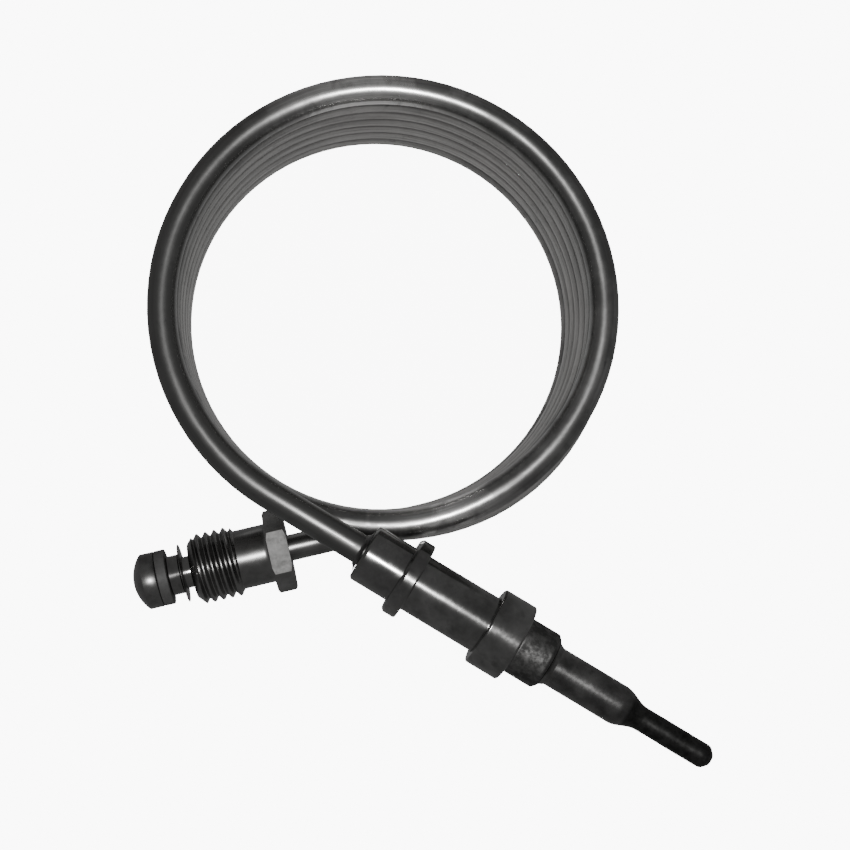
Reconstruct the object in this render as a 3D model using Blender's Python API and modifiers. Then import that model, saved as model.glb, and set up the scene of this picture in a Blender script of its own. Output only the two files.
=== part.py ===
"""Gas-burner thermocouple with its capillary lead wound into a coil.

Metres, +Z up. The coil stands on the XY plane with its axis along Z; the
union nut lies on the same plane under the coil's near side, and the hot end
points away over the top of the coil. Run in Blender 4.5.
"""

import math

import bmesh
import bpy
import numpy as np
from mathutils import Matrix, Vector

MM = 0.001
OBJECT = "thermocouple"

# ---------------------------------------------------------------- dimensions
# All in millimetres. The origin is under the middle of the whole object.
COIL_CENTRE = (-2.378, 11.350)
COIL_RADIUS = 22.75          # to the middle of the tube
COIL_PITCH = 3.1             # each turn lies on the one below
COIL_TILT = 2.1              # the near side is lifted by the nut's lead
COIL_BASE = -0.015
COIL_START = -77.0           # degrees, where the nut's lead joins
COIL_END = 238.8 + 6 * 360.0
STEP_DEG = 20.0              # one point of the path every 20 degrees
# Turns that stand out of line with the rest: by how much, at which angle of
# the coil, and over how many degrees they come back. The last turn leans in
# and the one below it bulges out, both on the near right side.
OFF_LINE = ((-0.32, 2108.0, 32.0), (0.45, 1748.0, 30.0))

LEAD_R = 1.5
LEAD_WALL = 0.52
SLEEVING_R = 0.76
SLEEVING_WALL = 0.25
WIRE_R = 0.33
GAP = 0.06                   # between pieces that touch

COLD_LENGTH = 33.47          # from the coil's start to the contact's apex
HOT_GAP = 11.0               # from the coil's end to the barrel
HOT_SLOPE = 0.0423

# hot end, s = distance along its axis from the barrel's rear face
BARREL_R, BARREL_BORE, BARREL_L = 3.0, 2.12, 21.3
FLANGE_R = 4.1
REAR_FLANGE = (4.3, 5.9)
FRONT_COLLAR = (14.1, 17.7)
SHEATH_R, SHEATH_S = 2.05, (15.6, 29.4)
ROD_R, ROD_S = 1.25, (32.2, 40.2)

# cold end, u = distance along its axis from the contact's apex
CONTACT_R, CONTACT_DOME_R = 3.14, 4.6
NECK_R, TAIL_R = 2.23, 1.8
WASHER_R = 3.3
NUT_U = (6.7, 12.0, 15.58, 17.83)   # face, end of thread, hexagon, rear face
THREAD_R, THREAD_PITCH, THREAD_DEPTH = 4.0, 1.0, 0.56
SHANK_R = 3.35
HEX_AF = 8.2

# ------------------------------------------------------------------- helpers
for old in list(bpy.data.objects):
    bpy.data.objects.remove(old, do_unlink=True)
for old in list(bpy.data.collections):
    bpy.data.collections.remove(old)

parts = bpy.data.collections.new(OBJECT)
cutters = bpy.data.collections.new("cutters")
bpy.context.scene.collection.children.link(parts)
bpy.context.scene.collection.children.link(cutters)


def material(name, colour, roughness, metallic):
    made = bpy.data.materials.new(name)
    made.use_nodes = True
    shader = made.node_tree.nodes["Principled BSDF"]
    shader.inputs["Base Color"].default_value = (*colour, 1.0)
    shader.inputs["Roughness"].default_value = roughness
    shader.inputs["Metallic"].default_value = metallic
    made.diffuse_color = (*colour, 1.0)
    return made


def helper(obj):
    for c in obj.users_collection:
        c.objects.unlink(obj)
    cutters.objects.link(obj)
    obj.hide_render = True
    obj.display_type = "WIRE"
    return obj


def smooth(mesh):
    mesh.shade_smooth()
    mesh.set_sharp_from_angle(angle=math.radians(32))


def empty(name, location, z_axis, up=(0, 0, 1)):
    """An empty at a place, its Z along z_axis and its X as near up as can be."""
    z = Vector(z_axis).normalized()
    x = (Vector(up) - Vector(up).dot(z) * z).normalized()
    y = z.cross(x)
    e = bpy.data.objects.new(name, None)
    e.empty_display_size = 2 * MM
    parts.objects.link(e)
    e.matrix_world = Matrix.Translation(Vector(location) * MM) @ Matrix(
        (x, y, z)
    ).transposed().to_4x4()
    return e


def turned(name, profile, closed, mat, parent=None, steps=24):
    """A turned piece about its own Z. profile is (z, r) in millimetres and
    runs down the outer side; a closed one is a ring."""
    mesh = bpy.data.meshes.new(name)
    verts = [(r * MM, 0.0, z * MM) for z, r in profile]
    n = len(verts)
    edges = [(i, i + 1) for i in range(n - 1)] + ([(n - 1, 0)] if closed else [])
    mesh.from_pydata(verts, edges, [])
    obj = bpy.data.objects.new(name, mesh)
    parts.objects.link(obj)
    screw = obj.modifiers.new("Turn", "SCREW")
    screw.axis = "Z"
    screw.steps = screw.render_steps = steps
    screw.use_merge_vertices = True
    screw.merge_threshold = 1e-6
    screw.use_smooth_shade = True
    if mat:
        mesh.materials.append(mat)
    if parent:
        obj.parent = parent
    return obj


def boolean(obj, operation, other):
    m = obj.modifiers.new(operation.title(), "BOOLEAN")
    m.operation = operation
    m.solver = "EXACT"
    m.object = other
    return m


def wire(name, points, radius, mat, sides_level=2):
    """A solid wire along points in millimetres."""
    data = bpy.data.curves.new(name, "CURVE")
    data.dimensions = "3D"
    data.bevel_depth = radius * MM
    data.bevel_resolution = sides_level
    data.use_fill_caps = True
    spline = data.splines.new("POLY")
    spline.points.add(len(points) - 1)
    for p, q in zip(spline.points, points):
        p.co = (q[0] * MM, q[1] * MM, q[2] * MM, 1.0)
    data.materials.append(mat)
    obj = bpy.data.objects.new(name, data)
    parts.objects.link(obj)
    return obj


def hollow(name, points, radius, wall, mat, sides_level=2):
    """A tube along points with an open bore: a swept skin, thickened inwards."""
    curve = wire(name + "_path", points, radius, mat, sides_level)
    curve.data.use_fill_caps = False
    bpy.context.view_layer.update()
    graph = bpy.context.evaluated_depsgraph_get()
    mesh = bpy.data.meshes.new_from_object(curve.evaluated_get(graph))
    mesh.name = name
    skin = bmesh.new()
    skin.from_mesh(mesh)
    bmesh.ops.remove_doubles(skin, verts=skin.verts, dist=1e-6)
    bmesh.ops.recalc_face_normals(skin, faces=skin.faces)
    # an open tube's recalculated normals may point either way
    face = skin.faces[len(skin.faces) // 2]
    c = face.calc_center_median()
    near = min(points, key=lambda q: (Vector(q) * MM - c).length)
    if face.normal.dot(c - Vector(near) * MM) < 0:
        bmesh.ops.reverse_faces(skin, faces=skin.faces)
    skin.to_mesh(mesh)
    skin.free()
    obj = bpy.data.objects.new(name, mesh)
    obj.matrix_world = curve.matrix_world
    parts.objects.link(obj)
    bpy.data.objects.remove(curve, do_unlink=True)
    solid = obj.modifiers.new("Wall", "SOLIDIFY")
    solid.thickness = wall * MM
    solid.offset = -1.0
    solid.use_even_offset = True
    solid.use_rim = True
    smooth(mesh)
    return obj


# --------------------------------------------------------------------- route
def coil_point(theta_deg):
    """The middle of the tube at an angle from the coil's start."""
    phi = theta_deg - COIL_START
    t = math.radians(theta_deg)
    z = (
        COIL_BASE
        + COIL_PITCH * phi / 360.0
        + COIL_TILT * (1.0 + math.cos(math.radians(phi)))
    )
    r = COIL_RADIUS
    for by, at, spread in OFF_LINE:
        r += by * math.exp(-(((theta_deg - at) / spread) ** 2))
    return Vector(
        (COIL_CENTRE[0] + r * math.cos(t), COIL_CENTRE[1] + r * math.sin(t), z)
    )


def coil_tangent(theta_deg):
    d = coil_point(theta_deg + 0.05) - coil_point(theta_deg - 0.05)
    return d.normalized()


t0, t1 = math.radians(COIL_START), math.radians(COIL_END)
cold_dir = Vector((-math.sin(t0), math.cos(t0), 0.0))        # contact to coil
hot_dir = Vector((-math.sin(t1), math.cos(t1), HOT_SLOPE)).normalized()

start = coil_point(COIL_START)
EASE = 6.0                                  # the lead levels out over this
slope = coil_tangent(COIL_START).z
cold_level = start.z - 0.5 * slope * EASE
apex = Vector((start.x, start.y, cold_level)) - cold_dir * COLD_LENGTH

end = coil_point(COIL_END)
end_slope = coil_tangent(COIL_END).z
rise = HOT_GAP * 0.5 * (end_slope + HOT_SLOPE)
barrel_rear = Vector(
    (
        end.x - math.sin(t1) * HOT_GAP,
        end.y + math.cos(t1) * HOT_GAP,
        end.z + rise,
    )
)


def cold(u):
    return apex + cold_dir * u


def hot(s):
    return barrel_rear + hot_dir * s


def eased(t):
    """The stretch between the straight lead and the coil, t from 0 to EASE."""
    x = t / EASE
    return Vector((start.x, start.y, cold_level)) - cold_dir * (EASE - t) + Vector(
        (0, 0, 0.5 * slope * EASE * x * x)
    )


coil = []
turn_count = int(round((COIL_END - COIL_START) / STEP_DEG))
for k in range(turn_count):
    coil.append(coil_point(COIL_START + k * STEP_DEG))
coil.append(end)


def rising(f):
    """The stretch from the coil's end to the barrel, f from 0 to 1."""
    h00, h10 = 2 * f**3 - 3 * f**2 + 1, f**3 - 2 * f**2 + f
    h01, h11 = -2 * f**3 + 3 * f**2, f**3 - f**2
    return (
        end * h00
        + coil_tangent(COIL_END) * (HOT_GAP * h10)
        + barrel_rear * h01
        + hot_dir * (HOT_GAP * h11)
    )


def route(u_from, s_to):
    """The lead's middle line from u on the cold axis to s on the hot axis."""
    straight = COLD_LENGTH - EASE
    points = [cold(u_from)]
    for f in (0.5, 1.0):
        points.append(cold(u_from + (straight - u_from) * f))
    points += [eased(t) for t in (2.0, 4.0)]
    points += coil
    points += [rising(f) for f in (0.3, 0.65, 1.0)]
    points.append(hot(s_to))
    return points


# ----------------------------------------------------------------- materials
copper = material("lead_copper", (0.17, 0.165, 0.16), 0.30, 1.0)
brass = material("fitting_brass", (0.19, 0.185, 0.18), 0.33, 1.0)
plated = material("nut_plated", (0.24, 0.235, 0.23), 0.27, 1.0)
sheath_steel = material("sheath_alloy", (0.07, 0.07, 0.07), 0.42, 1.0)
bright_wire = material("thermo_wire", (0.35, 0.34, 0.32), 0.35, 1.0)
ceramic = material("ceramic", (0.70, 0.68, 0.64), 0.60, 0.0)
fibre = material("insulation", (0.30, 0.29, 0.27), 0.75, 0.0)
braze = material("braze", (0.14, 0.135, 0.13), 0.45, 1.0)
glass_braid = material("glass_sleeving", (0.55, 0.52, 0.47), 0.85, 0.0)

# -------------------------------------------------------------------- frames
cold_axis = empty("cold_axis", apex, cold_dir)
hot_axis = empty("hot_axis", barrel_rear, hot_dir)
nut_axis = empty("nut_axis", cold(NUT_U[0]), cold_dir)

# ---------------------------------------------------------------------- lead
LEAD_FROM, LEAD_TO = 4.95, 8.0
lead_tube = hollow("lead_tube", route(LEAD_FROM, LEAD_TO), LEAD_R, LEAD_WALL, copper, 2)
lead_sleeving = hollow(
    "lead_sleeving", route(2.2, 9.4), SLEEVING_R, SLEEVING_WALL, glass_braid, 1
)
core_wire = wire("core_wire", route(1.0, 11.0), WIRE_R, bright_wire, 1)

# ------------------------------------------------------------------- hot end
c = 0.25
turned(
    "barrel",
    [
        (BARREL_L, BARREL_R - 0.3), (BARREL_L - 0.3, BARREL_R),
        (c, BARREL_R), (0.0, BARREL_R - c), (0.0, BARREL_BORE), (BARREL_L, BARREL_BORE),
    ],
    True, brass, hot_axis,
)


def collar(name, s0, s1, bevel_rear, bevel_front, bore, radius, mat, parent):
    return turned(
        name,
        [
            (s1, radius - bevel_front), (s1 - bevel_front, radius),
            (s0 + bevel_rear, radius), (s0, radius - bevel_rear),
            (s0, bore), (s1, bore),
        ],
        True, mat, parent,
    )


collar("rear_flange", *REAR_FLANGE, 0.3, 0.12, BARREL_R + GAP, FLANGE_R, brass, hot_axis)
collar("front_collar", *FRONT_COLLAR, 0.15, 0.15, BARREL_R + GAP, FLANGE_R, brass, hot_axis)
collar("rear_bush", 0.1, 7.6, 0.05, 0.1, LEAD_R + GAP, BARREL_BORE - GAP, brass, hot_axis)
turned(
    "rear_braze",
    [(-GAP, 2.3), (-0.2, 1.85), (-0.5, LEAD_R + GAP + 0.04), (-0.5, LEAD_R + GAP), (-GAP, LEAD_R + GAP)],
    True, braze, hot_axis,
)
turned(
    "front_braze",
    [
        (BARREL_L + 0.6, SHEATH_R + GAP), (BARREL_L + 0.6, SHEATH_R + GAP + 0.05),
        (BARREL_L + 0.25, SHEATH_R + 0.3), (BARREL_L + GAP, SHEATH_R + 0.55),
        (BARREL_L + GAP, SHEATH_R + GAP),
    ],
    True, braze, hot_axis,
)


def sheath_profile():
    """Outer side from the closed tip down to the wide root, then the bore."""
    s_wide, s_rod, tip = SHEATH_S[1], ROD_S[0], ROD_S[1]
    out = [(tip, 0.0), (tip, ROD_R - 0.6), (tip - 0.18, ROD_R - 0.2), (tip - 0.7, ROD_R)]
    n = 6
    for i in range(n + 1):
        f = i / n
        s = s_rod + (s_wide - s_rod) * f
        ease = f * f * (3 - 2 * f)
        out.append((s, ROD_R + (SHEATH_R - ROD_R) * ease))
    out += [(SHEATH_S[0] + 0.15, SHEATH_R), (SHEATH_S[0], SHEATH_R - 0.15)]
    out += [(SHEATH_S[0], 1.56), (28.9, 1.56), (31.4, 0.82), (39.0, 0.82), (39.0, 0.0)]
    return out


turned("probe_sheath", sheath_profile(), False, sheath_steel, hot_axis)
turned(
    "inner_element",
    [(38.1, 0.0), (38.1, 0.6), (12.55, 0.6), (12.55, 0.0)],
    False, bright_wire, hot_axis, 12,
)
turned(
    "junction_bead",
    [(38.92, 0.0), (38.92, 0.45), (38.75, 0.68), (38.35, 0.68), (38.18, 0.5), (38.18, 0.0)],
    False, bright_wire, hot_axis, 12,
)
turned(
    "probe_insulator",
    [(28.6, 0.70), (28.6, 1.40), (28.5, 1.48), (16.2, 1.48), (16.1, 1.4), (16.1, 0.70)],
    True, ceramic, hot_axis, 16,
)
turned(
    "splice_ferrule",
    [
        (12.4, 0.0), (12.4, 0.70), (14.4, 0.70), (14.4, 1.10), (9.8, 1.10),
        (9.8, 0.44), (11.1, 0.44), (11.1, 0.0),
    ],
    False, plated, hot_axis, 16,
)
turned(
    "splice_sleeve",
    [(15.3, 1.22), (15.3, 1.92), (8.3, 1.92), (8.3, 1.22)],
    True, fibre, hot_axis, 16,
)

# ------------------------------------------------------------------ cold end
DOME = CONTACT_DOME_R - math.sqrt(CONTACT_DOME_R**2 - CONTACT_R**2)
dome = []
for i in range(6):
    r = CONTACT_R + (0.46 - CONTACT_R) * i / 5
    dome.append((CONTACT_DOME_R - math.sqrt(CONTACT_DOME_R**2 - r * r), r))
turned(
    "contact_cap",
    [(2.85, 1.22), (2.85, CONTACT_R)] + dome + [(1.45, 0.46), (1.45, 1.22)],
    True, brass, cold_axis,
)
turned(
    "solder_pip",
    [(0.9, 0.0), (0.9, 0.38), (0.15, 0.38), (0.03, 0.24), (0.02, 0.0)],
    False, braze, cold_axis, 12,
)
turned(
    "contact_bush",
    [(4.8, 0.84), (4.8, 1.14), (1.55, 1.14), (1.55, 0.44), (2.1, 0.44), (2.1, 0.84)],
    True, ceramic, cold_axis, 16,
)
collar("insulating_ring", 2.91, 4.05, 0.06, 0.06, 1.22, CONTACT_R, fibre, cold_axis)
turned(
    "lead_ferrule",
    [
        (9.0, LEAD_R + GAP), (9.0, TAIL_R - 0.05), (8.9, TAIL_R), (5.42, TAIL_R),
        (5.42, NECK_R), (4.2, NECK_R), (4.11, NECK_R - 0.09),
        (4.11, 1.24), (4.86, 1.24), (4.86, LEAD_R + GAP),
    ],
    True, brass, cold_axis,
)
turned(
    "ferrule_solder",
    [(9.5, LEAD_R + GAP), (9.5, LEAD_R + GAP + 0.03), (9.06, TAIL_R - 0.03), (9.06, LEAD_R + GAP)],
    True, braze, cold_axis,
)
thrust_washer = turned(
    "thrust_washer",
    [
        (5.80, TAIL_R + GAP), (5.80, 2.5), (5.68, WASHER_R), (5.60, WASHER_R),
        (5.48, 2.5), (5.48, TAIL_R + GAP),
    ],
    True, plated, cold_axis,
)

# ----------------------------------------------------------------- union nut
# Local z of the nut is 0 at its face.
face, thread_end, hex_from, rear = (u - NUT_U[0] for u in NUT_U)
root_r = THREAD_R - THREAD_DEPTH
union_nut = turned(
    "union_nut",
    [
        (rear - 0.1, 0.0), (rear - 0.1, SHANK_R), (thread_end + 0.25, SHANK_R),
        (thread_end, root_r), (0.35, root_r), (0.0, root_r - 0.35), (0.0, 0.0),
    ],
    False, plated, nut_axis,
)

bpy.ops.mesh.primitive_cylinder_add(
    vertices=6, radius=HEX_AF / math.sqrt(3) * MM, depth=(rear - hex_from) * MM
)
hexagon = helper(bpy.context.object)
hexagon.name = "hexagon_blank"
hexagon.data.transform(Matrix.Translation((0, 0, 0.5 * (rear + hex_from) * MM)))
hexagon.parent = nut_axis
corner = HEX_AF / math.sqrt(3)
chamfer = helper(
    turned(
        "hexagon_chamfer",
        [
            (rear + 0.5, 0.0), (rear + 0.5, 3.0), (rear, HEX_AF / 2 - 0.05),
            (rear - 0.42, corner + 0.05), (hex_from + 0.42, corner + 0.05),
            (hex_from, HEX_AF / 2 - 0.05), (hex_from - 0.5, 3.0), (hex_from - 0.5, 0.0),
        ],
        False, None, nut_axis, 36,
    )
)
boolean(hexagon, "INTERSECT", chamfer)


def thread_ridge():
    """A three-sided ridge swept up the shank, closed at both ends."""
    mesh = bpy.data.meshes.new("thread_ridge")
    half = 0.40 * THREAD_PITCH
    inner = root_r - 0.18
    verts = [(inner * MM, 0, half * MM), (THREAD_R * MM, 0, 0.06 * MM),
             (THREAD_R * MM, 0, -0.06 * MM), (inner * MM, 0, -half * MM)]
    mesh.from_pydata(verts, [(0, 1), (1, 2), (2, 3), (3, 0)], [])
    obj = bpy.data.objects.new("thread_ridge_path", mesh)
    parts.objects.link(obj)
    m = obj.modifiers.new("Thread", "SCREW")
    m.axis = "Z"
    turns = int((thread_end - face) / THREAD_PITCH)
    m.angle = 2 * math.pi
    m.screw_offset = THREAD_PITCH * MM
    m.iterations = turns
    m.steps = m.render_steps = 20
    m.use_merge_vertices = False
    bpy.context.view_layer.update()
    graph = bpy.context.evaluated_depsgraph_get()
    swept = bpy.data.meshes.new_from_object(obj.evaluated_get(graph))
    bpy.data.objects.remove(obj, do_unlink=True)
    bm = bmesh.new()
    bm.from_mesh(swept)
    bmesh.ops.remove_doubles(bm, verts=bm.verts, dist=1e-7)
    bmesh.ops.holes_fill(bm, edges=[e for e in bm.edges if e.is_boundary], sides=0)
    bmesh.ops.recalc_face_normals(bm, faces=bm.faces)
    bmesh.ops.translate(bm, verts=bm.verts, vec=(0, 0, 0.45 * MM))
    bm.to_mesh(swept)
    bm.free()
    made = bpy.data.objects.new("thread_ridge", swept)
    parts.objects.link(made)
    made.parent = nut_axis
    return helper(made)


ridge = thread_ridge()
trim = helper(
    turned(
        "thread_trim",
        [
            (thread_end + 0.2, 0.0), (thread_end + 0.2, root_r - 0.1), (thread_end - 0.35, THREAD_R + 0.2),
            (0.75, THREAD_R + 0.2), (0.02, root_r - 0.25), (0.02, 0.0),
        ],
        False, None, nut_axis, 36,
    )
)
boolean(ridge, "INTERSECT", trim)
bore = helper(
    turned(
        "nut_bore",
        [
            (rear + 1.0, 0.0), (rear + 1.0, LEAD_R + 0.16), (3.4, LEAD_R + 0.16),
            (3.3, TAIL_R + 0.16), (-1.0, TAIL_R + 0.16), (-1.0, 0.0),
        ],
        False, None, nut_axis, 24,
    )
)
boolean(union_nut, "UNION", ridge)
boolean(union_nut, "UNION", hexagon)
boolean(union_nut, "DIFFERENCE", bore)

bpy.context.view_layer.update()
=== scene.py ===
"""Looks of a gas-burner thermocouple whose capillary lead is wound into a coil."""

import math

import bmesh
import bpy
import numpy as np
from mathutils import Matrix, Vector, noise


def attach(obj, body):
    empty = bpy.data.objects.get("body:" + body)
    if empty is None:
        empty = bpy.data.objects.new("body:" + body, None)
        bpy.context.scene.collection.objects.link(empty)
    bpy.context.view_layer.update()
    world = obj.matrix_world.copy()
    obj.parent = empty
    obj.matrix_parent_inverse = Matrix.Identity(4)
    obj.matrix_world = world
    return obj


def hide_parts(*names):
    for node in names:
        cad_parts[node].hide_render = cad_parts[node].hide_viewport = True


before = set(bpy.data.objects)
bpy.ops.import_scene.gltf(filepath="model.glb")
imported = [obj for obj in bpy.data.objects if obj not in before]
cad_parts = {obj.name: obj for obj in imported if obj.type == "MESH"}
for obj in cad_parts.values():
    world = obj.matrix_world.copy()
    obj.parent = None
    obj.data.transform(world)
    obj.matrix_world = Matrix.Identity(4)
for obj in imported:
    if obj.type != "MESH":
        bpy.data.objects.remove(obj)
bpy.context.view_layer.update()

MM = 0.001

# ------------------------------------------------------------------ the route
# The same route as the CAD's, in millimetres.
CC = (-2.378, 11.350)
R, PITCH, TILT, BASE = 22.75, 3.1, 2.1, -0.015
A0, A1 = -77.0, 238.8 + 6 * 360.0
COLD_L, HOT_GAP, HOT_SLOPE, EASE = 33.47, 11.0, 0.0423, 6.0


def coil_point(a):
    phi = a - A0
    t = math.radians(a)
    z = BASE + PITCH * phi / 360.0 + TILT * (1.0 + math.cos(math.radians(phi)))
    r = R
    for by, at, spread in ((-0.32, 2108.0, 32.0), (0.45, 1748.0, 30.0)):
        r += by * math.exp(-(((a - at) / spread) ** 2))
    return Vector((CC[0] + r * math.cos(t), CC[1] + r * math.sin(t), z))


def coil_tangent(a):
    return (coil_point(a + 0.05) - coil_point(a - 0.05)).normalized()


t0, t1 = math.radians(A0), math.radians(A1)
COLD = Vector((-math.sin(t0), math.cos(t0), 0.0))
HOT = Vector((-math.sin(t1), math.cos(t1), HOT_SLOPE)).normalized()
start, end = coil_point(A0), coil_point(A1)
slope = coil_tangent(A0).z
level = start.z - 0.5 * slope * EASE
APEX = Vector((start.x, start.y, level)) - COLD * COLD_L
rise = HOT_GAP * 0.5 * (coil_tangent(A1).z + HOT_SLOPE)
REAR = Vector((end.x - math.sin(t1) * HOT_GAP, end.y + math.cos(t1) * HOT_GAP, end.z + rise))


def frame_at(origin, z_axis):
    z = Vector(z_axis).normalized()
    x = (Vector((0, 0, 1)) - z * z.z).normalized()
    y = z.cross(x)
    return Matrix.Translation(origin * MM) @ Matrix((x, y, z)).transposed().to_4x4()


COLD_M, HOT_M = frame_at(APEX, COLD), frame_at(REAR, HOT)

# ----------------------------------------------------------------- the camera
cam_data = bpy.data.cameras.new("camera")
cam = bpy.data.objects.new("camera", cam_data)
bpy.context.scene.collection.objects.link(cam)
cam_data.sensor_width = 36.0
cam_data.lens = 1498.93 / 850.0 * 36.0
cam_data.clip_start, cam_data.clip_end = 0.005, 20.0
rx, ry, rz = (math.radians(v) for v in (-2.2135, -4.2145, 0.0537))


def rot(axis, a):
    return Matrix.Rotation(a, 3, axis)


look = rot("Z", rz) @ rot("Y", ry) @ rot("X", rx) @ Matrix.Diagonal((1, -1, -1)).to_3x3()
right, down, ahead = look[0], look[1], look[2]
turn = Matrix((right, -down, -ahead)).transposed().to_4x4()
EYE = Vector((CC[0] - 7.3003, CC[1] - 18.3177, 175.1757))
cam.matrix_world = Matrix.Translation(EYE * MM) @ turn
bpy.context.scene.camera = cam


# ------------------------------------------------------------- material maker
class Nodes:
    """A short hand for building a node tree."""

    def __init__(self, name):
        self.mat = bpy.data.materials.new(name)
        self.mat.use_nodes = True
        self.tree = self.mat.node_tree
        self.out = self.tree.nodes["Material Output"]
        self.bsdf = self.tree.nodes["Principled BSDF"]

    def add(self, kind, **inputs):
        n = self.tree.nodes.new(kind)
        for k, v in inputs.items():
            k = k.replace("_", " ")
            if isinstance(v, bpy.types.NodeSocket):
                self.tree.links.new(v, n.inputs[k])
            else:
                n.inputs[k].default_value = v
        return n

    def link(self, a, b):
        self.tree.links.new(a, b)

    def math(self, op, a, b=None, clamp=False):
        n = self.tree.nodes.new("ShaderNodeMath")
        n.operation, n.use_clamp = op, clamp
        for i, v in enumerate((a, b)):
            if v is None:
                continue
            if isinstance(v, bpy.types.NodeSocket):
                self.link(v, n.inputs[i])
            else:
                n.inputs[i].default_value = v
        return n.outputs[0]

    def ramp(self, fac, stops):
        n = self.tree.nodes.new("ShaderNodeValToRGB")
        e = n.color_ramp.elements
        while len(e) < len(stops):
            e.new(0.5)
        for el, (p, c) in zip(e, stops):
            el.position = p
            el.color = (c, c, c, 1) if isinstance(c, float) else (*c, 1)
        self.link(fac, n.inputs[0])
        return n.outputs[0]

    def coords(self, which="Object", scale=(1, 1, 1)):
        tc = self.tree.nodes.new("ShaderNodeTexCoord")
        mp = self.tree.nodes.new("ShaderNodeMapping")
        mp.inputs["Scale"].default_value = scale
        self.link(tc.outputs[which], mp.inputs["Vector"])
        return mp.outputs[0]

    def noise(self, vector, scale, detail=4.0, rough=0.55):
        n = self.tree.nodes.new("ShaderNodeTexNoise")
        n.inputs["Scale"].default_value = scale
        n.inputs["Detail"].default_value = detail
        n.inputs["Roughness"].default_value = rough
        self.link(vector, n.inputs["Vector"])
        return n.outputs["Fac"]

    def mix(self, fac, a, b):
        n = self.tree.nodes.new("ShaderNodeMix")
        n.data_type = "RGBA"
        for s, v in ((n.inputs[0], fac), (n.inputs[6], a), (n.inputs[7], b)):
            if isinstance(v, bpy.types.NodeSocket):
                self.link(v, s)
            elif isinstance(v, (int, float)):
                s.default_value = v
            else:
                s.default_value = (*v, 1)
        return n.outputs[2]

    def bump(self, height, strength, distance):
        n = self.tree.nodes.new("ShaderNodeBump")
        n.inputs["Strength"].default_value = strength
        n.inputs["Distance"].default_value = distance
        self.link(height, n.inputs["Height"])
        self.link(n.outputs[0], self.bsdf.inputs["Normal"])
        return n


def grey(v):
    return (v, v * 0.99, v * 0.975)


def metal(name, dark, light, rough, rough_spread, axis_lines=0.0, blotch=260.0,
          scratch=0.3, stain=0.35, coords="Object", bump_mm=0.004, seed=0.0, metallic=1.0,
          hot_end=None, hot_rough=0.45, hot_tone=0.45):
    """A metal with lathe or drawing lines, stains and fine scratches."""
    m = Nodes(name)
    p = m.coords(coords)
    sh = m.add("ShaderNodeVectorMath")
    sh.operation = "ADD"
    m.link(p, sh.inputs[0])
    sh.inputs[1].default_value = (seed, seed * 0.37, seed * 0.71)
    p = sh.outputs[0]
    big = m.noise(p, blotch, 5.0, 0.6)
    small = m.noise(p, blotch * 7.0, 3.0, 0.6)
    tone = m.ramp(big, [(0.32, 0.0), (0.68, 1.0)])
    base = m.mix(tone, grey(dark), grey(light))
    if axis_lines:
        sq = m.tree.nodes.new("ShaderNodeMapping")
        sq.inputs["Scale"].default_value = (0.02, 0.02, 1.0)
        m.link(p, sq.inputs["Vector"])
        lines = m.noise(sq.outputs[0], 5200.0, 2.0, 0.7)
    else:
        sq = m.tree.nodes.new("ShaderNodeMapping")
        sq.inputs["Scale"].default_value = (1.0, 1.0, 1.0)
        m.link(p, sq.inputs["Vector"])
        lines = m.noise(sq.outputs[0], 2600.0, 3.0, 0.7)
    dirt = m.ramp(m.noise(p, blotch * 1.9, 6.0, 0.7), [(0.50, 0.0), (0.74, 1.0)])
    base = m.mix(m.math("MULTIPLY", dirt, stain), base, grey(dark * 0.45))
    m.link(base, m.bsdf.inputs["Base Color"])
    r = m.math("ADD", m.math("MULTIPLY", small, rough_spread), rough - rough_spread * 0.5)
    r = m.math("ADD", r, m.math("MULTIPLY", dirt, 0.10), clamp=True)
    if hot_end:
        # past this distance along the axis the heat of brazing has dulled the surface
        sep = m.tree.nodes.new("ShaderNodeSeparateXYZ")
        m.link(m.coords("Object"), sep.inputs[0])
        dull = m.math("MULTIPLY", m.math("SUBTRACT", sep.outputs[2], hot_end * MM), 2500.0, clamp=True)
        spots = m.ramp(m.noise(p, 1500.0, 4.0, 0.7), [(0.42, 0.0), (0.66, 1.0)])
        r = m.math("ADD", r, m.math("MULTIPLY", dull, m.math("ADD", m.math("MULTIPLY", spots, -0.35 * hot_rough), hot_rough)), clamp=True)
        base = m.mix(m.math("MULTIPLY", dull, 0.85), base, m.mix(spots, grey(dark * 0.6 * hot_tone), grey(light * hot_tone)))
        m.link(base, m.bsdf.inputs["Base Color"])
    m.link(r, m.bsdf.inputs["Roughness"])
    m.bsdf.inputs["Metallic"].default_value = metallic
    h = m.math("ADD", m.math("MULTIPLY", lines, scratch), m.math("MULTIPLY", small, 0.5))
    h = m.math("ADD", h, m.math("MULTIPLY", big, 1.2))
    m.bump(h, 1.0, bump_mm * MM)
    return m.mat


def matt(name, dark, light, rough, scale=900.0, bump_mm=0.01):
    m = Nodes(name)
    p = m.coords("Object")
    n1 = m.noise(p, scale, 6.0, 0.65)
    n2 = m.noise(p, scale * 5, 3.0, 0.6)
    m.link(m.mix(m.ramp(n1, [(0.3, 0.0), (0.7, 1.0)]), grey(dark), grey(light)), m.bsdf.inputs["Base Color"])
    m.link(m.math("ADD", m.math("MULTIPLY", n2, 0.2), rough - 0.1), m.bsdf.inputs["Roughness"])
    m.bump(m.math("ADD", n1, m.math("MULTIPLY", n2, 0.5)), 1.0, bump_mm * MM)
    return m.mat


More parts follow.
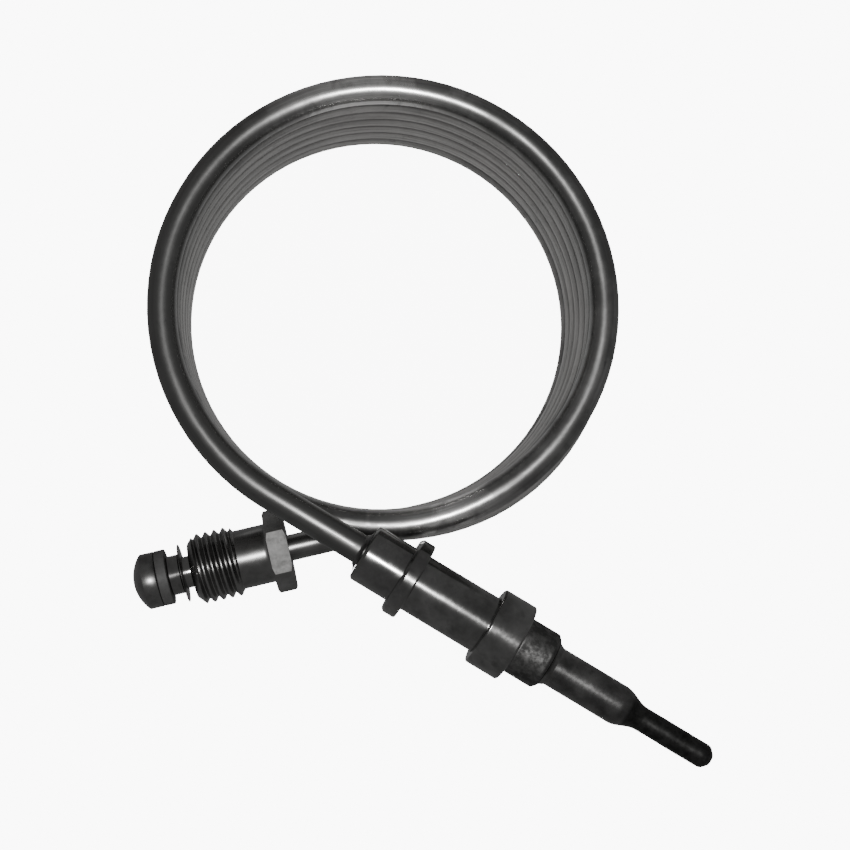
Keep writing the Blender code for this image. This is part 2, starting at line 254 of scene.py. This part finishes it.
def drawn_tube(name):
    """Soft-drawn tube: oxidised dark, with a painted highlight (a near-white base colour) where the light falls on
    the top and bottom of the ring, painted light on the inner turns, and drawing lines along its length. U runs along
    the tube in centimetres."""
    m = Nodes(name)
    uv = m.coords("UV")
    # the vertex mask of painted highlight and painted shade that lightens or darkens the tube's colour
    painted_sheen = m.tree.nodes.new("ShaderNodeAttribute")
    painted_sheen.attribute_name = "painted_sheen"
    painted_sheen = painted_sheen.outputs["Fac"]
    dull = m.tree.nodes.new("ShaderNodeAttribute")
    dull.attribute_name = "dull"
    dull = dull.outputs["Fac"]
    patches = m.noise(uv, 2.4, 5.0, 0.62)
    fine = m.noise(m.coords("UV", (14, 14, 1)), 1.0, 3.0, 0.6)
    streaks = m.noise(m.coords("UV", (0.9, 26.0, 1)), 1.0, 3.0, 0.6)
    speck = m.ramp(m.noise(m.coords("UV", (5, 9, 1)), 1.0, 4.0, 0.7), [(0.60, 0.0), (0.72, 1.0)])
    spread = m.math("SUBTRACT", 0.6, m.math("MULTIPLY", dull, 0.4))
    # the tube's colour runs from dark to near white with that mask: a painted highlight, plus random patches
    sheen_and_patches = m.math("ADD", painted_sheen, m.math("MULTIPLY", m.math("SUBTRACT", patches, 0.5), spread), clamp=True)
    base = m.mix(sheen_and_patches, grey(TUBE_DARK), grey(TUBE_LIGHT))
    base = m.mix(m.math("MULTIPLY", m.ramp(streaks, [(0.40, 0.0), (0.64, 1.0)]), 0.35), base, grey(TUBE_DARK * 0.6))
    base = m.mix(m.math("MULTIPLY", speck, 0.35), base, grey(0.06))
    # tarnish breaks the shine along the tube
    tarnish = m.ramp(m.noise(m.coords("UV", (1.5, 0.7, 1)), 1.0, 4.0, 0.62), [(0.50, 0.0), (0.57, 1.0)])
    tarnish = m.math("MULTIPLY", tarnish, m.math("SUBTRACT", 0.55, m.math("MULTIPLY", dull, 0.50)))
    base = m.mix(tarnish, base, grey(0.13))
    m.link(base, m.bsdf.inputs["Base Color"])
    r = m.math("ADD", m.math("MULTIPLY", fine, 0.08), m.math("MULTIPLY", sheen_and_patches, -0.08))
    r = m.math("ADD", r, m.math("MULTIPLY", tarnish, 0.14))
    r = m.math("ADD", r, m.math("MULTIPLY", dull, 0.37))
    r = m.math("ADD", r, TUBE_ROUGH, clamp=True)
    m.link(r, m.bsdf.inputs["Roughness"])
    m.bsdf.inputs["Metallic"].default_value = 1.0
    h = m.math("ADD", m.math("MULTIPLY", streaks, 0.5), m.math("MULTIPLY", patches, 1.4))
    m.bump(h, 1.0, 0.006 * MM)
    return m.mat


# the near-white TUBE_LIGHT is the colour of the painted highlight
TUBE_DARK, TUBE_LIGHT, TUBE_ROUGH = 0.19, 0.97, 0.28
TUBE = drawn_tube("drawn_tube")
BRASS = metal("turned_fitting", 0.15, 0.30, 0.15, 0.05, axis_lines=1, blotch=330.0, stain=0.55, bump_mm=0.001)
BARREL = metal("barrel_stained", 0.15, 0.30, 0.15, 0.05, axis_lines=1, blotch=330.0, stain=0.55, bump_mm=0.001, hot_end=17.6, hot_rough=0.50, hot_tone=0.55)
NUT = metal("plated_nut", 0.17, 0.30, 0.24, 0.06, axis_lines=1, blotch=300.0, stain=0.4, seed=3.1, bump_mm=0.001)
HEX = metal("hexagon_flats", 0.20, 0.30, 0.60, 0.12, blotch=420.0, stain=0.25, seed=7.7, bump_mm=0.012)
SHEATH = metal("sheath_scale", 0.10, 0.24, 0.26, 0.20, blotch=420.0, stain=0.6, seed=1.7, bump_mm=0.004, hot_end=30.2, hot_rough=0.10, hot_tone=0.22)
WELD = metal("braze_fillet", 0.12, 0.22, 0.42, 0.16, blotch=700.0, stain=0.5, seed=5.2, bump_mm=0.03)
CONTACT = metal("contact_brass", 0.13, 0.25, 0.28, 0.12, axis_lines=1, blotch=360.0, stain=0.5, seed=9.3)
FIBRE = matt("insulating_fibre", 0.06, 0.10, 0.55)
CERAMIC = matt("ceramic", 0.60, 0.72, 0.6)
BRAID = matt("glass_braid", 0.42, 0.58, 0.85, 2600.0, 0.03)
WIREMAT = metal("thermo_wire", 0.35, 0.5, 0.3, 0.1, blotch=500.0, seed=2.2)


# --------------------------------------------------------------- mesh helpers
def link(obj):
    bpy.context.scene.collection.objects.link(obj)
    return obj


def finish_piece(obj, body, mat, nodes):
    for m in mat if isinstance(mat, (list, tuple)) else [mat]:
        obj.data.materials.append(m)
    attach(obj, body)
    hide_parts(*nodes)
    return obj


def lathe(name, profile, matrix, closed=False, segs=120, angle=28, wobble=0.0, seed=0.0):
    """A turned piece: profile (z, r) in mm, down the outer side; closed is a ring."""
    bm = bmesh.new()
    rings = []
    for z, r in profile:
        if r < 1e-6:
            rings.append([bm.verts.new((0, 0, z * MM))])
            continue
        ring = []
        for i in range(segs):
            a = 2 * math.pi * i / segs
            rr = r
            if wobble:
                v = Vector((math.cos(a) * 1.3 + seed, math.sin(a) * 1.3, z * 0.8))
                rr += wobble * noise.noise(v)
            ring.append(bm.verts.new((rr * math.cos(a) * MM, rr * math.sin(a) * MM, z * MM)))
        rings.append(ring)
    pairs = list(zip(rings, rings[1:])) + ([(rings[-1], rings[0])] if closed else [])
    for a, b in pairs:
        for i in range(segs):
            j = (i + 1) % segs
            if len(a) == 1 and len(b) == 1:
                continue
            if len(a) == 1:
                bm.faces.new((a[0], b[i], b[j]))
            elif len(b) == 1:
                bm.faces.new((a[i], b[0], a[j]))
            else:
                bm.faces.new((a[i], b[i], b[j], a[j]))
    bmesh.ops.recalc_face_normals(bm, faces=bm.faces)
    mesh = bpy.data.meshes.new(name)
    bm.to_mesh(mesh)
    bm.free()
    mesh.shade_smooth()
    mesh.set_sharp_from_angle(angle=math.radians(angle))
    obj = link(bpy.data.objects.new(name, mesh))
    obj.matrix_world = matrix
    return obj


def rounded(profile, r, closed=True, n=4):
    """The profile with each corner cut round by about r mm."""
    pts = [Vector((z, q, 0)) for z, q in profile]
    out = []
    count = len(pts)
    for i, p in enumerate(pts):
        if not closed and i in (0, count - 1):
            out.append((p.x, p.y))
            continue
        a, b = pts[i - 1], pts[(i + 1) % count]
        d1, d2 = a - p, b - p
        if d1.length < 1e-6 or d2.length < 1e-6:
            out.append((p.x, p.y))
            continue
        cut = min(r, 0.45 * d1.length, 0.45 * d2.length)
        p1, p2 = p + d1.normalized() * cut, p + d2.normalized() * cut
        hold = p + d1.normalized() * min(cut * 1.08, 0.49 * d1.length)
        out.append((hold.x, hold.y))
        for k in range(n + 1):
            f = k / n
            q = p1 * (1 - f) ** 2 + p * 2 * f * (1 - f) + p2 * f * f
            out.append((q.x, q.y))
        hold = p + d2.normalized() * min(cut * 1.08, 0.49 * d2.length)
        out.append((hold.x, hold.y))
    return out


# ----------------------------------------------------------------------- lead
def smooth_route():
    pts = []
    straight = COLD_L - EASE
    for k in range(14):
        pts.append(APEX + COLD * (4.95 + (straight - 4.95) * k / 14))
    for k in range(6):
        t = EASE * k / 6
        x = t / EASE
        pts.append(Vector((start.x, start.y, level)) - COLD * (EASE - t) + Vector((0, 0, 0.5 * slope * EASE * x * x)))
    n = int((A1 - A0) / 4.0)
    for k in range(n):
        pts.append(coil_point(A0 + (A1 - A0) * k / n))
    for k in range(10):
        f = k / 10
        h00, h10 = 2 * f**3 - 3 * f**2 + 1, f**3 - 2 * f**2 + f
        h01, h11 = -2 * f**3 + 3 * f**2, f**3 - f**2
        pts.append(end * h00 + coil_tangent(A1) * (HOT_GAP * h10) + REAR * h01 + HOT * (HOT_GAP * h11))
    for k in range(5):
        pts.append(REAR + HOT * (7.9 * k / 4))
    return pts


def bump_at(x, centre, width):
    return math.exp(-(((x - centre) / width) ** 2))


def inner_turns(along):
    """1 on the turns that lie under the top one, 0 on it and on the two ends."""
    return min(1.0, max(0.0, (along - 55.0) / 50.0)) * min(1.0, max(0.0, (868.0 - along) / 60.0))


def painted_sheen_at(p, along):
    """How much painted highlight the tube's colour carries at this point of its route, 0 to 1: most at the top and
    bottom of the ring where the light falls, a middle amount of painted light on the inner turns, and a little below
    0 past the coil, a painted shade.
    """
    a = math.degrees(math.atan2(p.y - CC[1], p.x - CC[0])) % 360.0
    inner = inner_turns(along)
    # the lower turns: painted light on the inner turns, little on the lead from the nut
    if along < 400.0:
        return 0.05 + 0.45 * inner
    # painted highlight by the angle round the ring: full at the top and bottom where the light falls, less on the
    # left
    w = 0.02 + 1.0 * bump_at(a, 97, 21) + 1.0 * bump_at(a, 284, 13) + 0.10 * bump_at(a, 330, 60) - 0.15 * bump_at(a, 150, 25)
    # past the coil's end the value drops below zero: painted shade that dims the lead's highlight
    fade = min(1.0, max(0.0, (1005.0 - along) / 40.0))
    top = min(1.0, max(0.0, w)) * fade - 0.15 * (1 - fade)
    return 0.50 * inner + top * (1.0 - inner)


def tube(name, pts, radius, sides=28):
    """A swept tube with its own UVs: U runs along it in centimetres, V round it."""
    P = np.array([tuple(p) for p in pts])
    T = np.gradient(P, axis=0)
    T /= np.linalg.norm(T, axis=1)[:, None]
    L = np.concatenate([[0], np.cumsum(np.linalg.norm(np.diff(P, axis=0), axis=1))])
    # up is world Z taken square to the tube, so the sides don't twist
    up = np.array([0, 0, 1.0]) - T * T[:, 2:3]
    up /= np.linalg.norm(up, axis=1)[:, None]
    side = np.cross(T, up)
    bm = bmesh.new()
    uv = bm.loops.layers.uv.new("UVMap")
    # per-vertex masks: the painted highlight and shade of the tube's colour, and the lower turns
    painted_sheen = bm.verts.layers.float.new("painted_sheen")
    dull = bm.verts.layers.float.new("dull")
    rings = []
    for i in range(len(P)):
        ring = []
        # the painted highlight and shade for this ring of the tube
        painted_sheen_here = painted_sheen_at(pts[i], L[i])
        for j in range(sides):
            a = 2 * math.pi * j / sides
            r = radius * (1 + 0.008 * noise.noise(Vector((L[i] * 0.22, math.cos(a), math.sin(a)))))
            q = P[i] + (up[i] * math.cos(a) + side[i] * math.sin(a)) * r
            v = bm.verts.new(q * MM)
            v[painted_sheen] = painted_sheen_here
            v[dull] = inner_turns(L[i])
            ring.append(v)
        rings.append(ring)
    for i in range(len(rings) - 1):
        for j in range(sides):
            k = (j + 1) % sides
            f = bm.faces.new((rings[i][j], rings[i][k], rings[i + 1][k], rings[i + 1][j]))
            for loop, (a, b) in zip(f.loops, ((i, j), (i, j + 1), (i + 1, j + 1), (i + 1, j))):
                loop[uv].uv = (L[a] / 10.0, b / sides)
    bm.faces.new(rings[0])
    bm.faces.new(list(reversed(rings[-1])))
    bmesh.ops.recalc_face_normals(bm, faces=bm.faces)
    mesh = bpy.data.meshes.new(name)
    bm.to_mesh(mesh)
    bm.free()
    mesh.shade_smooth()
    mesh.set_sharp_from_angle(angle=math.radians(50))
    return link(bpy.data.objects.new(name, mesh)), float(L[-1])


path = smooth_route()
lead, lead_length = tube("lead", path, 1.5)
finish_piece(lead, "lead_assembly", TUBE, ["lead_tube"])

# ------------------------------------------------------------------- hot end
L = "lead_assembly"
barrel = lathe(
    "barrel_skin",
    rounded([(21.3, 2.7), (21.0, 3.0), (0.25, 3.0), (0.0, 2.75), (0.0, 2.12), (21.3, 2.12)], 0.12),
    HOT_M, closed=True, wobble=0.012,
)
finish_piece(barrel, L, BARREL, ["barrel"])
flange = lathe(
    "rear_flange_ring",
    rounded([(5.9, 3.98), (5.78, 4.1), (4.6, 4.1), (4.3, 3.8), (4.3, 3.06), (5.9, 3.06)], 0.08),
    HOT_M, closed=True, wobble=0.015, seed=4,
)
finish_piece(flange, L, BRASS, ["rear_flange"])
collar = lathe(
    "front_collar_ring",
    rounded([(17.7, 3.95), (17.55, 4.1), (14.25, 4.1), (14.1, 3.95), (14.1, 3.06), (17.7, 3.06)], 0.08),
    HOT_M, closed=True, wobble=0.015, seed=9,
)
finish_piece(collar, L, BRASS, ["front_collar"])
bush = lathe("rear_bush_end", rounded([(7.6, 2.0), (7.5, 2.06), (0.1, 2.06), (0.1, 1.56), (7.6, 1.56)], 0.03), HOT_M, closed=True)
finish_piece(bush, L, BRASS, ["rear_bush"])
rear_fillet = lathe(
    "rear_fillet",
    [(-0.06, 2.3), (-0.16, 2.0), (-0.28, 1.78), (-0.42, 1.64), (-0.5, 1.6), (-0.5, 1.52), (-0.06, 1.52)],
    HOT_M, closed=True, wobble=0.02,
)
finish_piece(rear_fillet, L, WELD, ["rear_braze"])
front_fillet = lathe(
    "front_fillet",
    [(21.95, 2.06), (21.95, 2.12), (21.7, 2.22), (21.5, 2.38), (21.36, 2.62), (21.36, 2.06)],
    HOT_M, closed=True, wobble=0.06, seed=2,
)
finish_piece(front_fillet, L, WELD, ["front_braze"])


def sheath_profile():
    out = [(40.2, 0.0), (40.2, 0.50), (40.17, 0.60), (40.08, 0.72), (39.72, 1.09), (39.58, 1.18), (39.38, 1.24), (38.9, 1.25)]
    out += [(38.9 - k * 1.1, 1.25) for k in range(1, 6)]
    for i in range(17):
        f = i / 16
        e = f * f * (3 - 2 * f)
        out.append((32.2 + (29.4 - 32.2) * f, 1.25 + 0.8 * e))
    out += [(28.5, 2.05), (26.0, 2.05), (23.5, 2.05), (15.75, 2.05), (15.6, 1.9), (15.6, 0.0)]
    return out


sheath = lathe("sheath_skin", sheath_profile(), HOT_M, wobble=0.02, seed=6)
finish_piece(sheath, L, SHEATH, ["probe_sheath"])

# ------------------------------------------------------------------ cold end
dome_r = 4.6
dome = []
for i in range(13):
    r = 3.14 + (0.44 - 3.14) * i / 12
    dome.append((dome_r - math.sqrt(dome_r**2 - r * r), r))
cap = lathe(
    "contact_skin",
    [(2.85, 1.22), (2.85, 3.02), (2.82, 3.1), (2.74, 3.14), (1.34, 3.14)] + [(dome[0][0] + 0.01, 3.12)] + dome[1:] + [(1.45, 0.44), (1.45, 1.22)],
    COLD_M, closed=True, wobble=0.02, seed=11,
)
finish_piece(cap, L, CONTACT, ["contact_cap"])
pip = lathe("solder_tip", [(0.9, 0.0), (0.9, 0.38), (0.12, 0.38), (0.05, 0.33), (0.02, 0.2), (0.01, 0.0)], COLD_M, segs=48)
finish_piece(pip, L, WELD, ["solder_pip"])
ring = lathe(
    "insulating_band",
    rounded([(4.05, 3.08), (3.99, 3.14), (2.97, 3.14), (2.91, 3.08), (2.91, 1.22), (4.05, 1.22)], 0.05),
    COLD_M, closed=True, wobble=0.015, seed=13,
)
finish_piece(ring, L, FIBRE, ["insulating_ring"])
ferrule = lathe(
    "ferrule_skin",
    [(9.0, 1.52), (9.0, 1.75), (8.9, 1.8), (5.50, 1.8), (5.44, 1.84), (5.42, 1.92), (5.42, 2.15), (5.36, 2.23), (4.2, 2.23), (4.11, 2.14), (4.11, 1.24), (4.86, 1.24), (4.86, 1.52)],
    COLD_M, closed=True, wobble=0.02, seed=17,
)
finish_piece(ferrule, L, BRASS, ["lead_ferrule"])
washer = lathe(
    "washer_skin",
    [(5.80, 1.86), (5.80, 2.4), (5.69, 3.25), (5.65, 3.3), (5.62, 3.3), (5.59, 3.25), (5.48, 2.4), (5.48, 1.86)],
    COLD_M, closed=True, wobble=0.03, seed=19,
)
finish_piece(washer, "washer", NUT, ["thrust_washer"])


# ----------------------------------------------------------------- union nut
NUT_M = frame_at(APEX + COLD * 6.7, COLD)
THREAD_END, HEX_FROM, HEX_TO = 5.3, 8.88, 11.13
AF = 8.2


def thread_radius(z, a):
    """The surface of a right-hand M8 thread with rounded roots and run-out."""
    major, minor, pitch = 3.97, 3.48, 1.0
    ph = ((z / pitch - a / (2 * math.pi)) % 1.0)
    d = abs(ph - 0.5) * 2          # 0 at the crest, 1 at the root
    v = min(1.0, max(0.0, (1.0 - d) * 1.28 - 0.10))
    v = v * v * (3 - 2 * v) * 0.35 + v * 0.65
    r = minor + (major - minor) * v
    lead_in = 3.05 + max(0.0, z) * 1.15
    run_out = 3.35 + max(0.0, THREAD_END - z) * 1.6
    return min(r, lead_in, max(run_out, 3.35) if z > THREAD_END - 0.6 else r)


def boolean(obj, other, operation):
    mod = obj.modifiers.new(operation, "BOOLEAN")
    mod.object, mod.operation, mod.solver = other, operation, "EXACT"


def hexagon():
    """The six-sided head: flats 8.2 mm across, its corners turned down at both ends."""
    r = AF / 2 / math.cos(math.pi / 6)
    bm = bmesh.new()
    rings = [[bm.verts.new((r * math.cos(math.radians(30 + 60 * k)) * MM, r * math.sin(math.radians(30 + 60 * k)) * MM, z * MM))
              for k in range(6)] for z in (HEX_FROM, HEX_TO)]
    for k in range(6):
        j = (k + 1) % 6
        bm.faces.new((rings[0][k], rings[0][j], rings[1][j], rings[1][k]))
    bm.faces.new(rings[0])
    bm.faces.new(rings[1])
    bmesh.ops.recalc_face_normals(bm, faces=bm.faces)
    mesh = bpy.data.meshes.new("head")
    bm.to_mesh(mesh)
    bm.free()
    head = link(bpy.data.objects.new("head", mesh))
    turned = lathe("turned", [(HEX_TO + 0.02, 0), (HEX_TO + 0.02, 4.36), (HEX_TO - 0.26, 4.8), (HEX_FROM + 0.26, 4.8), (HEX_FROM - 0.02, 4.36), (HEX_FROM - 0.02, 0)], Matrix(), segs=180)
    bore = lathe("bore", [(HEX_TO + 1, 0), (HEX_TO + 1, 2.3), (HEX_FROM - 1, 2.3), (HEX_FROM - 1, 0)], Matrix(), segs=60)
    boolean(head, turned, "INTERSECT")
    boolean(head, bore, "DIFFERENCE")
    bev = head.modifiers.new("edges", "BEVEL")
    bev.width, bev.segments, bev.limit_method, bev.angle_limit = 0.055 * MM, 2, "ANGLE", math.radians(25)
    bpy.context.view_layer.update()
    done = bpy.data.meshes.new_from_object(head.evaluated_get(bpy.context.evaluated_depsgraph_get()))
    for o in (head, turned, bore):
        bpy.data.objects.remove(o)
    return done


def union_nut():
    segs = 216
    zs, kinds = [], []

    def add(z, k):
        zs.append(z)
        kinds.append(k)

    add(0.0, "face")
    n = 150
    for i in range(n + 1):
        add(0.0 + (THREAD_END + 0.02) * i / n, "thread")
    for z in (5.36, 5.5, 6.0, 6.8, 7.6, 8.4, 8.72, 8.80, 8.85, 8.875):
        add(z, "shank")
    add(8.92, "neck")
    add(HEX_TO - 0.02, "neck")
    bm = bmesh.new()
    rings = []
    for z, k in zip(zs, kinds):
        ring = []
        for i in range(segs):
            a = 2 * math.pi * i / segs
            if k == "face":
                r = 2.7
            elif k == "thread":
                r = thread_radius(z, a)
            elif k == "shank":
                r = 3.35 + (0.10 * max(0, (z - 8.70) / 0.175) ** 2 if z > 8.7 else 0)
            else:
                r = 2.42
            ring.append(bm.verts.new((r * math.cos(a) * MM, r * math.sin(a) * MM, z * MM)))
        rings.append(ring)
    # the rear face, the bore and the counterbore
    for z, r in ((HEX_TO - 0.02, 1.76), (HEX_TO - 0.12, 1.66), (3.4, 1.66), (3.3, 1.96), (0.12, 1.96), (0.0, 2.08)):
        rings.append([bm.verts.new((r * math.cos(2 * math.pi * i / segs) * MM, r * math.sin(2 * math.pi * i / segs) * MM, z * MM)) for i in range(segs)])
    count = len(rings)
    for i in range(count):
        j = (i + 1) % count
        for s in range(segs):
            t = (s + 1) % segs
            bm.faces.new((rings[i][s], rings[i][t], rings[j][t], rings[j][s]))
    bmesh.ops.recalc_face_normals(bm, faces=bm.faces)
    turned_faces = len(bm.faces)
    bm.from_mesh(hexagon())
    bm.faces.ensure_lookup_table()
    for f in bm.faces[turned_faces:]:
        f.material_index = 1
    mesh = bpy.data.meshes.new("nut_skin")
    bm.to_mesh(mesh)
    bm.free()
    mesh.shade_smooth()
    mesh.set_sharp_from_angle(angle=math.radians(24))
    for p in mesh.polygons:
        if p.material_index == 1 and p.area > 0.4 * MM * MM:
            p.use_smooth = False
    obj = link(bpy.data.objects.new("nut_skin", mesh))
    obj.matrix_world = NUT_M
    return obj


nut = union_nut()
finish_piece(nut, "nut", [NUT, HEX], ["union_nut"])

# ---------------------------------------------- CAD pieces that stay as they are
for name, mat in {
    "lead_sleeving": BRAID, "core_wire": WIREMAT, "inner_element": WIREMAT, "junction_bead": WIREMAT,
    "probe_insulator": CERAMIC, "splice_ferrule": NUT, "splice_sleeve": FIBRE,
    "contact_bush": CERAMIC, "ferrule_solder": WELD,
}.items():
    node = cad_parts[name]
    node.data.materials.clear()
    node.data.materials.append(mat)


# ---------------------------------------------------------------------- stage
def plane(name, size, hole=None):
    bm = bmesh.new()
    if hole:
        bmesh.ops.create_circle(bm, cap_ends=True, radius=hole, segments=96)
        bmesh.ops.translate(bm, verts=bm.verts, vec=(CC[0] * MM, CC[1] * MM, 0))
    else:
        bmesh.ops.create_grid(bm, x_segments=1, y_segments=1, size=size)
    mesh = bpy.data.meshes.new(name)
    bm.to_mesh(mesh)
    bm.free()
    return link(bpy.data.objects.new(name, mesh))


floor = plane("floor", 6.0)
floor.location.z = -0.0002
fm = Nodes("floor")
fm.bsdf.inputs["Base Color"].default_value = (0.93, 0.93, 0.93, 1)
fm.bsdf.inputs["Roughness"].default_value = 0.9
fm.bsdf.inputs["Specular IOR Level"].default_value = 0.0
fm.bsdf.inputs["Emission Color"].default_value = (1, 1, 1, 1)
fm.bsdf.inputs["Emission Strength"].default_value = 9.0
floor.data.materials.append(fm.mat)
floor.visible_glossy = False
floor.visible_diffuse = False

# what the inside of the coil mirrors: the pale table seen through the eye
glow = plane("table_glow", 1, hole=22.0 * MM)
glow.location.z = -0.0001
gm = Nodes("table_glow")
gm.bsdf.inputs["Base Color"].default_value = (0, 0, 0, 1)
gm.bsdf.inputs["Specular IOR Level"].default_value = 0.0
gm.bsdf.inputs["Emission Color"].default_value = (1, 1, 1, 1)
gm.bsdf.inputs["Emission Strength"].default_value = 0.40
glow.data.materials.append(gm.mat)
glow.visible_camera = False
glow.visible_diffuse = False

world = bpy.data.worlds.new("world")
bpy.context.scene.world = world
world.use_nodes = True
wt = world.node_tree
bg = wt.nodes["Background"]
bg.inputs["Color"].default_value = (0.185, 0.185, 0.185, 1)
bg.inputs["Strength"].default_value = 1.0


def area(name, place, target, sx, sy, power, spread=180):
    data = bpy.data.lights.new(name, "AREA")
    data.shape = "RECTANGLE"
    data.size, data.size_y = sx, sy
    data.energy = power
    data.spread = math.radians(spread)
    o = link(bpy.data.objects.new(name, data))
    o.location = place
    d = Vector(place) - Vector(target)
    z = d.normalized()
    y = (Vector((0, 1, 0)) - z * z.y).normalized()
    x = y.cross(z)
    o.matrix_world = Matrix.Translation(Vector(place)) @ Matrix((x, y, z)).transposed().to_4x4()
    return o


area("flash", (EYE.x * MM, EYE.y * MM + 0.004, 0.26), (0, 0, 0.01), 0.009, 0.012, 0.34)
